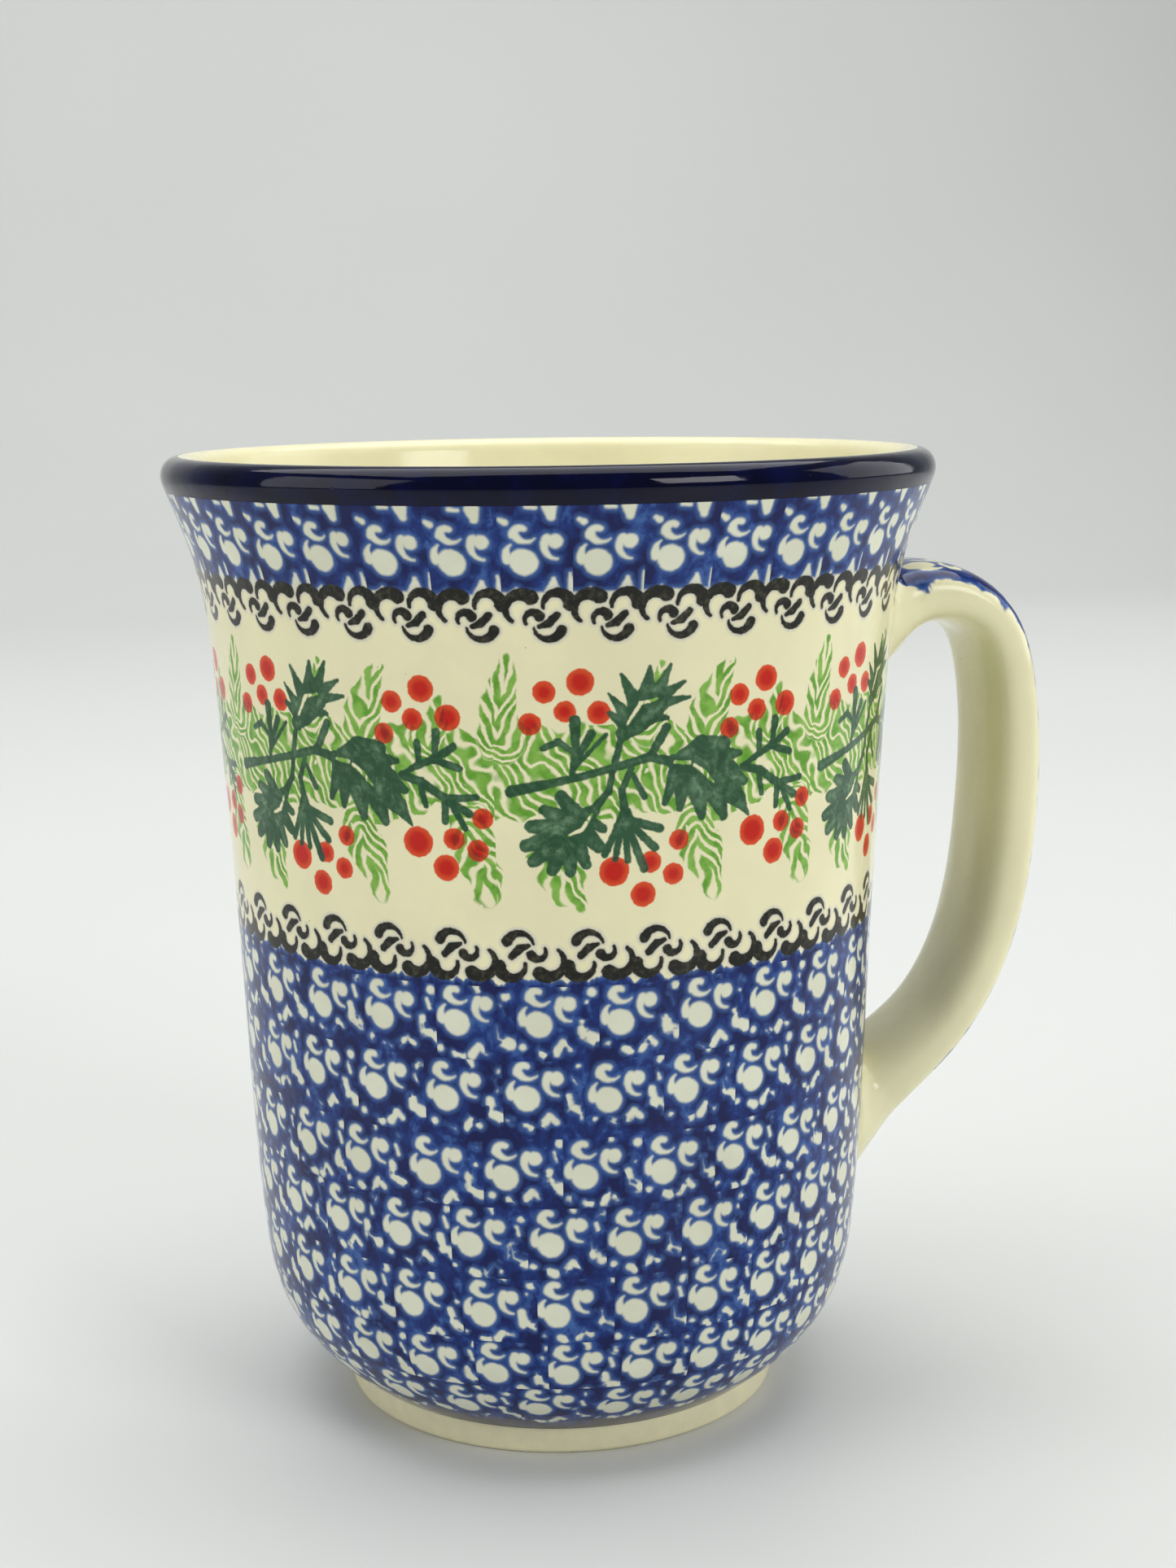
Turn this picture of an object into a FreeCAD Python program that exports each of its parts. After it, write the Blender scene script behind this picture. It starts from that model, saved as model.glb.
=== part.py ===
import FreeCAD, Part
import math
import os

# Stoneware mug, in millimetres. The origin is the centre of the foot, on the surface the mug
# stands on. +Z points up through the mouth and the handle stands out along +X.

# ---- driving dimensions ----------------------------------------------------------------------
MUG_HEIGHT = 115.0
WALL_THICKNESS = 4.3       # finished wall, clay and both glaze coats
GLAZE_THICKNESS = 0.35     # one coat
FLOOR_TOP = 7.6            # height of the drinking side of the floor at the centre
FLOOR_CORNER = ((4.5, 0.35), (10.0, 0.0))      # in from the wall, and above the floor there

FOOT_RADIUS = 26.5
FOOT_HEIGHT = 3.2          # the glazed wall starts here
FOOT_RING_WIDTH = 4.2
FOOT_RECESS = 2.0          # how far the underside is hollowed
FOOT_EDGE_RADIUS = 0.8

LIP_RADIUS = 2.15          # the lip is a half-round bead
LIP_CREST_RADIUS = 43.4    # distance of the crest from the mug's axis
LIP_TURNS = (0.0, 45.0, 90.0, 135.0, 180.0)   # from the outside over to the drinking side
RIM_BAND_BOTTOM = 111.1    # the cobalt rim glaze runs from here up the outside of the lip,
RIM_BAND_LAST_TURN = 2     # and ends on its crest, at this entry of LIP_TURNS

# Finished outside of the wall between the foot and the rim band, as (radius, height).
WALL_OUTLINE = [
    (FOOT_RADIUS, FOOT_HEIGHT),
    (30.7, 6.8),
    (34.9, 13.0),
    (36.7, 22.0),
    (37.7, 38.0),
    (38.7, 62.0),
    (40.1, 87.0),
    (42.2, 103.0),
    (45.1, RIM_BAND_BOTTOM),
]

# Middle line of the handle strap, as (distance from the axis, height), from the upper end,
# which starts inside the wall, to the lower end.
HANDLE_LINE = [
    (35.5, 88.5),
    (45.9, 96.8),
    (53.5, 94.2),
    (57.0, 85.6),
    (57.4, 69.0),
    (54.4, 52.0),
    (48.4, 41.4),
    (41.6, 35.4),
    (33.5, 28.4),
]
HANDLE_SECTIONS = 15
HANDLE_WIDTH = (18.2, 17.4, 16.0)             # at the upper end, the middle and the lower end
HANDLE_THICKNESS = (9.0, 6.8, 7.4, 6.8, 9.4)  # evenly spaced along the strap
SECTION_POINTS = 24
SECTION_SQUARENESS = 2.6                      # 2 is an ellipse, more is squarer

# Slip around the ends of the handle, from inside the wall outwards: the place along the strap
# as a fraction of its length, how far the slip stands out beyond the strap, and how far its
# outline leans from square across the strap (0) to flat against the wall (1).
UPPER_JOINT = ((0.050, 2.2, 1.0), (0.078, 1.7, 1.0), (0.098, 0.7, 0.5), (0.122, 0.15, 0.0))
LOWER_JOINT = ((0.966, 2.6, 1.0), (0.943, 2.1, 1.0), (0.917, 0.8, 0.5), (0.885, 0.15, 0.0))

SPAN_STEPS = 6             # a stretch of outline is a curve through this many steps
FULL_TURN = 360.0


# ---- outlines --------------------------------------------------------------------------------
def at(radius, height):
    """A point of the half section, which lies in the XZ plane."""
    return FreeCAD.Vector(radius, 0.0, height)


def spline(points):
    curve = Part.BSplineCurve()
    curve.interpolate(points)
    return curve


def shifted_point(curve, parameter, depth):
    """The point at this parameter, moved to the left of the curve's direction."""
    along = curve.tangent(parameter)[0]
    left = FreeCAD.Vector(-along.z, 0.0, along.x)
    return curve.value(parameter) + left * depth


def lip_points():
    """The bead of the lip from its widest place, over the crest, to the drinking side."""
    centre_height = MUG_HEIGHT - LIP_RADIUS
    points = []
    for degrees in LIP_TURNS:
        turn = math.radians(degrees)
        radius = LIP_CREST_RADIUS + LIP_RADIUS * math.cos(turn)
        height = centre_height + LIP_RADIUS * math.sin(turn)
        points.append(at(radius, height))
    return points


def inner_wall_points():
    """The drinking side of the wall, one wall thickness inside the outline."""
    wall = spline([at(*point) for point in WALL_OUTLINE])
    points = []
    for radius, height in reversed(WALL_OUTLINE[1:-1]):
        parameter = wall.parameter(at(radius, height))
        points.append(shifted_point(wall, parameter, WALL_THICKNESS))
    return points


def finished_outline():
    """The glazed surface from the foot, up the outside, over the lip and down to the floor."""
    outside = [at(*point) for point in WALL_OUTLINE]
    inside = inner_wall_points()
    corner = inside[-1]
    floor = [at(corner.x - inwards, FLOOR_TOP + rise) for inwards, rise in FLOOR_CORNER]
    return spline(outside + lip_points() + inside + floor + [at(0.0, FLOOR_TOP)])


def outline_edges(finished, knots, depth):
    """Edges that follow the finished outline at a depth below it, one for each stretch."""
    edges = []
    for start, end in zip(knots, knots[1:]):
        steps = [start + (end - start) * step / SPAN_STEPS for step in range(SPAN_STEPS + 1)]
        curve = Part.BSplineCurve()
        curve.interpolate(
            Points=[shifted_point(finished, parameter, depth) for parameter in steps],
            InitialTangent=finished.tangent(start)[0],
            FinalTangent=finished.tangent(end)[0],
        )
        edges.append(curve.toShape())
    return edges


def line_through(points):
    return [Part.LineSegment(start, end).toShape() for start, end in zip(points, points[1:])]


def revolved(edges):
    face = Part.Face(Part.Wire(Part.__sortEdges__(edges)))
    return face.revolve(FreeCAD.Vector(), FreeCAD.Vector(0, 0, 1), FULL_TURN)


# ---- body and glaze --------------------------------------------------------------------------
def cup_body(finished, knots):
    """Clay wall and floor, with the foot ring and the hollow under the floor."""
    wall_start = shifted_point(finished, knots[0], GLAZE_THICKNESS)
    floor_end = shifted_point(finished, knots[-1], GLAZE_THICKNESS)
    ring_inside = FOOT_RADIUS - FOOT_RING_WIDTH
    edge = FOOT_EDGE_RADIUS
    underside = [
        wall_start,
        at(FOOT_RADIUS, FOOT_HEIGHT),
        at(FOOT_RADIUS, edge),
        at(FOOT_RADIUS - edge, 0.0),
        at(ring_inside + edge, 0.0),
        at(ring_inside, edge),
        at(ring_inside - edge, FOOT_RECESS),
        at(0.0, FOOT_RECESS),
        floor_end,
    ]
    return revolved(outline_edges(finished, knots, GLAZE_THICKNESS) + line_through(underside))


def filled_clay(finished, knots):
    """The clay's outside filled in to the axis, used to trim what is stuck on the wall."""
    start = shifted_point(finished, knots[0], GLAZE_THICKNESS)
    end = shifted_point(finished, knots[-1], GLAZE_THICKNESS)
    core = line_through([end, at(0.0, end.z), at(0.0, start.z), start])
    return revolved(outline_edges(finished, knots, GLAZE_THICKNESS) + core)


def glaze_coat(finished, knots):
    """The glaze over a run of stretches of the outline."""
    surface = outline_edges(finished, knots, 0.0)
    clay = outline_edges(finished, knots, GLAZE_THICKNESS)
    ends = []
    for knot in (knots[0], knots[-1]):
        ends += line_through([finished.value(knot), shifted_point(finished, knot, GLAZE_THICKNESS)])
    return revolved(surface + clay + ends)


# ---- handle ----------------------------------------------------------------------------------
def blended(values, fraction):
    """A value read from an evenly spaced list, eased between its entries."""
    place = min(max(fraction, 0.0), 1.0) * (len(values) - 1)
    index = min(int(place), len(values) - 2)
    part = place - index
    ease = part * part * (3.0 - 2.0 * part)
    return values[index] * (1.0 - ease) + values[index + 1] * ease


def rounded(value, power):
    return math.copysign(abs(value) ** power, value)


def wall_direction(height):
    """The direction of the wall's outline, upwards, at a height."""
    wall = spline([at(*point) for point in WALL_OUTLINE])
    level = Part.LineSegment(at(0.0, height), at(MUG_HEIGHT, height))
    crossing = wall.intersect(level)[0]
    return wall.tangent(wall.parameter(FreeCAD.Vector(crossing.X, crossing.Y, crossing.Z)))[0]


def strap_section(path, fraction, growth=0.0, lean=0.0):
    """A closed outline round the strap, crowned on both faces with soft edges."""
    parameter = path.FirstParameter + (path.LastParameter - path.FirstParameter) * fraction
    centre = path.value(parameter)
    along = path.tangent(parameter)[0]
    outward = FreeCAD.Vector(-along.z, 0.0, along.x)
    across = FreeCAD.Vector(0.0, 1.0, 0.0)
    lifting = outward
    if lean:
        against_wall = wall_direction(centre.z)
        against_wall *= math.copysign(1.0, against_wall.dot(outward))
        lifting = (outward * (1.0 - lean) + against_wall * lean).normalize()
    half_width = blended(HANDLE_WIDTH, fraction) / 2.0 + growth
    half_thickness = blended(HANDLE_THICKNESS, fraction) / 2.0 / lifting.dot(outward) + growth
    power = 2.0 / SECTION_SQUARENESS
    points = []
    for step in range(SECTION_POINTS):
        turn = 2.0 * math.pi * step / SECTION_POINTS
        side = half_width * rounded(math.cos(turn), power)
        lift = half_thickness * rounded(math.sin(turn), power)
        points.append(centre + across * side + lifting * lift)
    curve = Part.BSplineCurve()
    curve.interpolate(Points=points, PeriodicFlag=True)
    return Part.Wire([curve.toShape()])


def handle_strap(path):
    steps = range(HANDLE_SECTIONS)
    sections = [strap_section(path, step / (HANDLE_SECTIONS - 1)) for step in steps]
    return Part.makeLoft(sections, True)


def slip_joint(path, outlines):
    return Part.makeLoft([strap_section(path, *outline) for outline in outlines], True)


# ---- assembly --------------------------------------------------------------------------------
def build_parts():
    finished = finished_outline()
    knots = finished.getKnots()
    band_start = len(WALL_OUTLINE) - 1
    band_end = len(WALL_OUTLINE) + RIM_BAND_LAST_TURN
    outside_knots = knots[:band_start + 1]
    band_knots = knots[band_start:band_end + 1]
    inside_knots = knots[band_end:]

    wall = filled_clay(finished, outside_knots)
    path = spline([at(*point) for point in HANDLE_LINE])
    handle = handle_strap(path).cut(wall)
    upper_joint = slip_joint(path, UPPER_JOINT).cut(wall).cut(handle)
    lower_joint = slip_joint(path, LOWER_JOINT).cut(wall).cut(handle)
    outer_glaze = glaze_coat(finished, outside_knots)
    for stuck_on in (handle, upper_joint, lower_joint):
        outer_glaze = outer_glaze.cut(stuck_on)
    return {
        "cup_body": cup_body(finished, knots),
        "outer_glaze": outer_glaze,
        "rim_glaze_band": glaze_coat(finished, band_knots),
        "inner_glaze": glaze_coat(finished, inside_knots),
        "handle": handle,
        "upper_slip_joint": upper_joint,
        "lower_slip_joint": lower_joint,
    }


def main():
    os.makedirs("parts", exist_ok=True)
    for name, shape in build_parts().items():
        solids = shape.Solids
        shape = solids[0] if len(solids) == 1 else shape
        shape.exportStep(os.path.join("parts", name + ".step"))
        print(name, "solids", len(solids), "valid", shape.isValid(),
              "volume mm3", round(shape.Volume, 1), shape.BoundBox)


main()
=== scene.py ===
import math

import bpy
import numpy as np
from mathutils import Matrix, Vector


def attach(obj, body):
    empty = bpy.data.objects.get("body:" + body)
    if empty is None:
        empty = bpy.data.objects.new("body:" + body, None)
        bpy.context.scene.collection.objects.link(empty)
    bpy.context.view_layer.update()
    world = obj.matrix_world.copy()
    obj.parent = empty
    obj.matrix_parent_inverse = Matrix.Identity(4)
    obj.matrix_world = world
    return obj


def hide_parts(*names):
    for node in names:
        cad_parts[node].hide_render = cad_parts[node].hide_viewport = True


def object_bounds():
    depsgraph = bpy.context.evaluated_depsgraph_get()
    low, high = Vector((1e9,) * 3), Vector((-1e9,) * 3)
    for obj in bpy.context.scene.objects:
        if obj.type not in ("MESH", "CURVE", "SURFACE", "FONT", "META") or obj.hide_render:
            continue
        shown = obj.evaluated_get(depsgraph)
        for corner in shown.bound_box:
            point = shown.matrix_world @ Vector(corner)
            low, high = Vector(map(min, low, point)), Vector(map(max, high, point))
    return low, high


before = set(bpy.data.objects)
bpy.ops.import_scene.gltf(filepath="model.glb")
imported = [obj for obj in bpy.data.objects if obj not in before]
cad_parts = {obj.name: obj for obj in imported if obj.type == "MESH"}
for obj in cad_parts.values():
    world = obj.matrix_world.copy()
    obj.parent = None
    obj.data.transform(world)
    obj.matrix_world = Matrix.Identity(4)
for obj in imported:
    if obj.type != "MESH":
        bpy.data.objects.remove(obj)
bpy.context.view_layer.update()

# Lengths are in millimetres unless a name says otherwise, and become metres in the meshes.
MM = 0.001

# ---- the cup's outline, the same as in the CAD model -------------------------------------------
MUG_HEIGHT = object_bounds()[1][2] / MM
FOOT_RADIUS = 26.5
FOOT_HEIGHT = 3.2
FOOT_RING_WIDTH = 4.2
FOOT_RECESS = 2.0
WALL_THICKNESS = 4.3
GLAZE_THICKNESS = 0.35
FLOOR_TOP = 7.6
FLOOR_CORNER = ((4.5, 0.35), (10.0, 0.0))   # in from the wall, and above the floor there
LIP_RADIUS = 2.15
LIP_CREST_RADIUS = 43.4
LIP_POINTS = 5
RIM_BAND_BOTTOM = 111.1
WALL_OUTLINE = [
    (FOOT_RADIUS, FOOT_HEIGHT),
    (30.7, 6.8),
    (34.9, 13.0),
    (36.7, 22.0),
    (37.7, 38.0),
    (38.7, 62.0),
    (40.1, 87.0),
    (42.2, 103.0),
    (45.1, RIM_BAND_BOTTOM),
]

# Where one decorated stretch of the wall hands over to the next.
FIELD_SPLIT = 31.0
FIELD_TOP = 59.6
GARLAND_TOP = 96.3

# ---- the handle, the same as in the CAD model --------------------------------------------------
HANDLE_LINE = [
    (35.5, 88.5),
    (45.9, 96.8),
    (53.5, 94.2),
    (57.0, 85.6),
    (57.4, 69.0),
    (54.4, 52.0),
    (48.4, 41.4),
    (41.6, 35.4),
    (33.5, 28.4),
]
HANDLE_LENGTH = 98.1
HANDLE_WIDTH = (18.2, 17.4, 16.0)
HANDLE_THICKNESS = (9.0, 6.8, 7.4, 6.8, 9.4)
SECTION_SQUARENESS = 2.6
HANDLE_MEETS_WALL = (0.078, 0.943)   # places along the strap, as fractions of its length
JOINT_REACH = 0.044        # how much of the strap's length a slip joint covers outside the wall
JOINT_ROOT = 0.02          # and inside it
JOINT_GROWTH = (1.7, 2.1)  # how far the joints stand out beyond the strap, at the wall

# ---- colours, as linear red, green and blue ----------------------------------------------------


def srgb(red, green, blue):
    """A display colour out of 255 as a linear colour."""
    return tuple((value / 255.0) ** 2.2 for value in (red, green, blue))


CREAM = srgb(236, 231, 190)
CREAM_BLUED = srgb(222, 224, 202)
CREAM_DULL = srgb(213, 214, 190)
CREAM_WARM = srgb(230, 224, 184)
COBALT_DARK = srgb(6, 22, 76)
COBALT_MID = srgb(22, 51, 118)
COBALT_PALE = srgb(68, 106, 168)
RIM_NAVY = srgb(2, 6, 34)
BLACK_INK = srgb(26, 27, 20)
HALO_GREY = srgb(196, 194, 190)
LEAF_DARK = srgb(48, 88, 64)
LEAF_WATERY = srgb(112, 146, 120)
SPRIG_GREEN = srgb(94, 152, 46)
SPRIG_PALE = srgb(132, 180, 78)
BERRY_RED = srgb(200, 30, 8)
BERRY_EDGE = srgb(224, 80, 42)
BARE_CLAY = srgb(224, 217, 182)
IRON_SPECK = srgb(120, 92, 60)
BLACK_WORN = srgb(74, 72, 58)
RIM_THIN = srgb(6, 14, 52)
FOOT_LINE_BLUE = srgb(22, 36, 78)


# ---- curves and meshes -------------------------------------------------------------------------
def cubic_spline(points):
    """A natural cubic spline through the points, as a function of 0..1 along its length."""
    points = np.array(points, dtype=float)
    steps = np.linalg.norm(np.diff(points, axis=0), axis=1)
    knots = np.concatenate([[0.0], np.cumsum(steps)])
    count = len(points)
    system = np.eye(count)
    right = np.zeros_like(points)
    for i in range(1, count - 1):
        before, after = steps[i - 1], steps[i]
        system[i, i - 1:i + 2] = before, 2.0 * (before + after), after
        slope_after = (points[i + 1] - points[i]) / after
        slope_before = (points[i] - points[i - 1]) / before
        right[i] = 6.0 * (slope_after - slope_before)
    bend = np.linalg.solve(system, right)

    def at(fractions):
        run = np.clip(fractions, 0.0, 1.0) * knots[-1]
        i = np.clip(np.searchsorted(knots, run, side="right") - 1, 0, count - 2)
        h = steps[i][:, None]
        a = (knots[i + 1] - run)[:, None] / h
        b = 1.0 - a
        curve = a * points[i] + b * points[i + 1]
        return curve + ((a ** 3 - a) * bend[i] + (b ** 3 - b) * bend[i + 1]) * h * h / 6.0

    return at


WALL_SAMPLES = 1200
OUTLINE_SAMPLES = 4000


def wall_curve():
    """The finished outside of the wall as a dense list of (radius, height)."""
    return cubic_spline(WALL_OUTLINE)(np.linspace(0.0, 1.0, WALL_SAMPLES))


WALL = wall_curve()
WALL_RUN = np.concatenate([[0.0], np.cumsum(np.linalg.norm(np.diff(WALL, axis=0), axis=1))])
RUN_DATUM = 62.0           # the run along the wall equals the height here
WALL_RUN += RUN_DATUM - np.interp(RUN_DATUM, WALL[:, 1], WALL_RUN)


def run_at(height):
    """Distance along the wall's surface, counted so that it equals the height at the datum."""
    return float(np.interp(height, WALL[:, 1], WALL_RUN))


def wall_points(low, high, spacing):
    """Points of the wall's outside between two heights, evenly spaced along its surface."""
    start, end = run_at(low), run_at(high)
    runs = np.linspace(start, end, max(2, int(math.ceil((end - start) / spacing)) + 1))
    radius = np.interp(runs, WALL_RUN, WALL[:, 0])
    height = np.interp(runs, WALL_RUN, WALL[:, 1])
    return np.stack([radius, height], axis=1)


def normals_of(points):
    """Unit vectors to the left of the line through the points."""
    along = np.gradient(points, axis=0)
    along /= np.linalg.norm(along, axis=1)[:, None]
    return np.stack([-along[:, 1], along[:, 0]], axis=1)


def lip_curve():
    """The half-round bead of the lip, from the outside over the crest to the drinking side."""
    turns = np.linspace(0.0, math.pi, LIP_POINTS)
    radius = LIP_CREST_RADIUS + LIP_RADIUS * np.cos(turns)
    height = MUG_HEIGHT - LIP_RADIUS + LIP_RADIUS * np.sin(turns)
    return np.stack([radius, height], axis=1)


def full_outline():
    """The finished surface from the foot, over the lip, and down the inside to the floor."""
    outside = np.array(WALL_OUTLINE)
    inner = WALL + normals_of(WALL) * WALL_THICKNESS
    heights = [point[1] for point in WALL_OUTLINE[1:-1]][::-1]
    places = [int(np.argmin(np.abs(WALL[:, 1] - height))) for height in heights]
    inside = inner[places]
    corner = inside[-1][0]
    floor = [(corner - inwards, FLOOR_TOP + rise) for inwards, rise in FLOOR_CORNER]
    outline = cubic_spline(np.vstack([outside, lip_curve(), inside, floor, [(0.0, FLOOR_TOP)]]))
    return outline(np.linspace(0.0, 1.0, OUTLINE_SAMPLES))


OUTLINE = full_outline()
CREST = int(np.argmax(OUTLINE[:, 1]))


def outline_between(first, last, spacing, tight):
    """Points of the full outline between two of its samples, closer together where it bends."""
    part = OUTLINE[first:last + 1]
    steps = np.linalg.norm(np.diff(part, axis=0), axis=1)
    along = np.arctan2(np.gradient(part[:, 1]), np.gradient(part[:, 0]))
    bend = np.abs(np.diff(np.unwrap(along)))
    weight = np.concatenate([[0.0], np.cumsum(steps / spacing + bend * tight)])
    wanted = np.linspace(0.0, weight[-1], max(3, int(math.ceil(weight[-1])) + 1))
    return np.stack([np.interp(wanted, weight, part[:, k]) for k in (0, 1)], axis=1)


SHARP_ANGLE = math.radians(50.0)     # a sharper bend than this shows as an edge


def new_mesh_object(name, vertices, faces):
    mesh = bpy.data.meshes.new(name)
    mesh.from_pydata([tuple(v) for v in vertices], [], faces)
    mesh.validate()
    mesh.update()
    piece = bpy.data.objects.new(name, mesh)
    bpy.context.scene.collection.objects.link(piece)
    for polygon in mesh.polygons:
        polygon.use_smooth = True
    mesh.set_sharp_from_angle(angle=SHARP_ANGLE)
    return piece


AROUND = 256               # steps round the cup


def turned_piece(name, section):
    """A closed solid of revolution. A section that starts and ends on the axis has poles."""
    section = np.array(section, dtype=float)
    on_axis = section[:, 0] < 1e-6
    turns = np.linspace(0.0, 2.0 * math.pi, AROUND, endpoint=False)
    vertices = []
    rings = []
    for (radius, height), pole in zip(section, on_axis):
        start = len(vertices)
        if pole:
            vertices.append((0.0, 0.0, height * MM))
            rings.append([start] * AROUND)
            continue
        for turn in turns:
            x, y = radius * math.cos(turn), radius * math.sin(turn)
            vertices.append((x * MM, y * MM, height * MM))
        rings.append(list(range(start, start + AROUND)))
    faces = []
    closed = not on_axis[0]
    pairs = list(zip(rings, rings[1:]))
    if closed:
        pairs.append((rings[-1], rings[0]))
    for low, high in pairs:
        for i in range(AROUND):
            j = (i + 1) % AROUND
            corners = [low[i], low[j], high[j], high[i]]
            face = [c for k, c in enumerate(corners) if c != corners[k - 1]]
            if len(face) > 2:
                faces.append(face)
    return new_mesh_object(name, vertices, faces)


def store(piece, name, values):
    """Gives each vertex of a piece a number that its material can read."""
    layer = piece.data.attributes.new(name, "FLOAT", "POINT")
    layer.data.foreach_set("value", np.array(values, dtype=np.float32))


def add_run(piece):
    """Stores how far along the wall's surface each vertex is, for the decoration."""
    heights = np.array([vertex.co.z for vertex in piece.data.vertices]) / MM
    store(piece, "wall_run", np.interp(heights, WALL[:, 1], WALL_RUN))


# ---- shader graphs -----------------------------------------------------------------------------
class Graph:
    """A node tree and short ways to add nodes to it."""

    def __init__(self, tree):
        self.tree = tree
        self.tree.nodes.clear()

    def node(self, kind, **settings):
        made = self.tree.nodes.new(kind)
        for key, value in settings.items():
            setattr(made, key, value)
        return made

    def plug(self, socket, value):
        if isinstance(value, bpy.types.NodeSocket):
            self.tree.links.new(value, socket)
        elif value is not None:
            socket.default_value = value

    def math(self, operation, *values):
        made = self.node("ShaderNodeMath", operation=operation)
        for socket, value in zip(made.inputs, values):
            self.plug(socket, value)
        return made.outputs[0]

    def vector(self, operation, *values):
        made = self.node("ShaderNodeVectorMath", operation=operation)
        sockets = list(made.inputs)
        if operation == "SCALE":
            sockets = [made.inputs[0], made.inputs[3]]
        for socket, value in zip(sockets, values):
            self.plug(socket, value)
        number = operation in {"LENGTH", "DISTANCE", "DOT_PRODUCT"}
        return made.outputs[1 if number else 0]

    def join(self, x, y=0.0, z=0.0):
        made = self.node("ShaderNodeCombineXYZ")
        for socket, value in zip(made.inputs, (x, y, z)):
            self.plug(socket, value)
        return made.outputs[0]

    def split(self, vector):
        made = self.node("ShaderNodeSeparateXYZ")
        self.plug(made.inputs[0], vector)
        return tuple(made.outputs)

    def ramp(self, value, low, high, to_low=0.0, to_high=1.0):
        """The value eased from low..high to to_low..to_high, and held at the ends."""
        made = self.node("ShaderNodeMapRange", interpolation_type="SMOOTHSTEP", clamp=True)
        for socket, number in zip(made.inputs, (value, low, high, to_low, to_high)):
            self.plug(socket, number)
        return made.outputs[0]

    def mix(self, amount, first, second, blend="MIX"):
        made = self.node("ShaderNodeMix", data_type="RGBA", blend_type=blend)
        self.plug(made.inputs[0], amount)
        for socket, value in ((made.inputs[6], first), (made.inputs[7], second)):
            self.plug(socket, (*value, 1.0) if isinstance(value, tuple) else value)
        return made.outputs[2]

    def noise(self, where, scale, detail=2.0, roughness=0.5, distortion=0.0, colour=False):
        made = self.node("ShaderNodeTexNoise")
        self.plug(made.inputs["Vector"], where)
        made.inputs["Scale"].default_value = scale
        made.inputs["Detail"].default_value = detail
        made.inputs["Roughness"].default_value = roughness
        made.inputs["Distortion"].default_value = distortion
        return made.outputs["Color" if colour else "Fac"]

    def cells(self, where, scale):
        """Distance to the nearest of many scattered points, and that point's random colour."""
        made = self.node("ShaderNodeTexVoronoi", feature="F1")
        self.plug(made.inputs["Vector"], where)
        made.inputs["Scale"].default_value = scale
        return made.outputs["Distance"], made.outputs["Color"]

    def random(self, x, y, seed):
        """Three numbers from 0 to 1, the same all over one cell."""
        made = self.node("ShaderNodeTexWhiteNoise", noise_dimensions="3D")
        self.plug(made.inputs["Vector"], self.join(x, y, seed))
        return made.outputs["Color"]

    def attribute(self, name):
        return self.node("ShaderNodeAttribute", attribute_name=name).outputs["Fac"]

    def group(self, tree, *values):
        made = self.node("ShaderNodeGroup", node_tree=tree)
        for socket, value in zip(made.inputs, values):
            self.plug(socket, value)
        return made.outputs[0]

    def drawn(self, where, shapes, blend=0.0):
        """Distance in millimetres to the edge of all the shapes together, negative inside."""
        nearest = FAR
        for kind, *form in shapes:
            for numbers in SHAPE_NUMBERS[kind](*form):
                nearest = self.group(SHAPE_GROUPS[kind], where, nearest, blend, *numbers)
        return nearest

    def negative(self, value):
        return self.math("MULTIPLY", value, -1.0)

    def without(self, whole, cut):
        return self.math("MAXIMUM", whole, self.negative(cut))

    def cover(self, distance, soft=0.1):
        """1 inside a shape and 0 outside it, with a soft edge."""
        return self.ramp(distance, soft, -soft)

    def steps(self, index, values):
        """The entry of a list for a whole-number index that may be outside it."""
        total = values[0]
        for place, (before, after) in enumerate(zip(values, values[1:])):
            if after == before:
                continue
            past = self.math("GREATER_THAN", index, place + 0.5)
            total = self.math("MULTIPLY_ADD", past, after - before, total)
        return total


FAR = 50.0                 # millimetres: further from a shape than any part of its print


def shape_group(name, distance, vectors, numbers):
    """A node group that joins one more shape to the shapes drawn before it."""
    tree = bpy.data.node_groups.new(name, "ShaderNodeTree")
    g = Graph(tree)
    tree.interface.new_socket(name="distance", in_out="OUTPUT", socket_type="NodeSocketFloat")
    sockets = [("where", "Vector"), ("nearest", "Float"), ("blend", "Float")]
    sockets += [(label, "Vector") for label in vectors] + [(label, "Float") for label in numbers]
    for label, kind in sockets:
        tree.interface.new_socket(name=label, in_out="INPUT", socket_type="NodeSocket" + kind)
    enter = g.node("NodeGroupInput").outputs
    where, nearest, blend, *form = list(enter)[:len(sockets)]
    whole = g.math("SMOOTH_MIN", nearest, distance(g, where, *form), blend)
    g.plug(g.node("NodeGroupOutput").inputs[0], whole)
    return tree


def blob_distance(g, where, centre, radius):
    return g.math("SUBTRACT", g.vector("DISTANCE", where, centre), radius)


def line_distance(g, where, start, towards, back, wide, taper):
    from_start = g.vector("SUBTRACT", where, start)
    place = g.vector("DOT_PRODUCT", from_start, towards)
    place = g.math("MAXIMUM", g.math("MINIMUM", place, 1.0), 0.0)
    far = g.vector("LENGTH", g.vector("MULTIPLY_ADD", g.join(place, place), back, from_start))
    return g.math("SUBTRACT", g.math("MULTIPLY_ADD", place, taper, far), wide)


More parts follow.
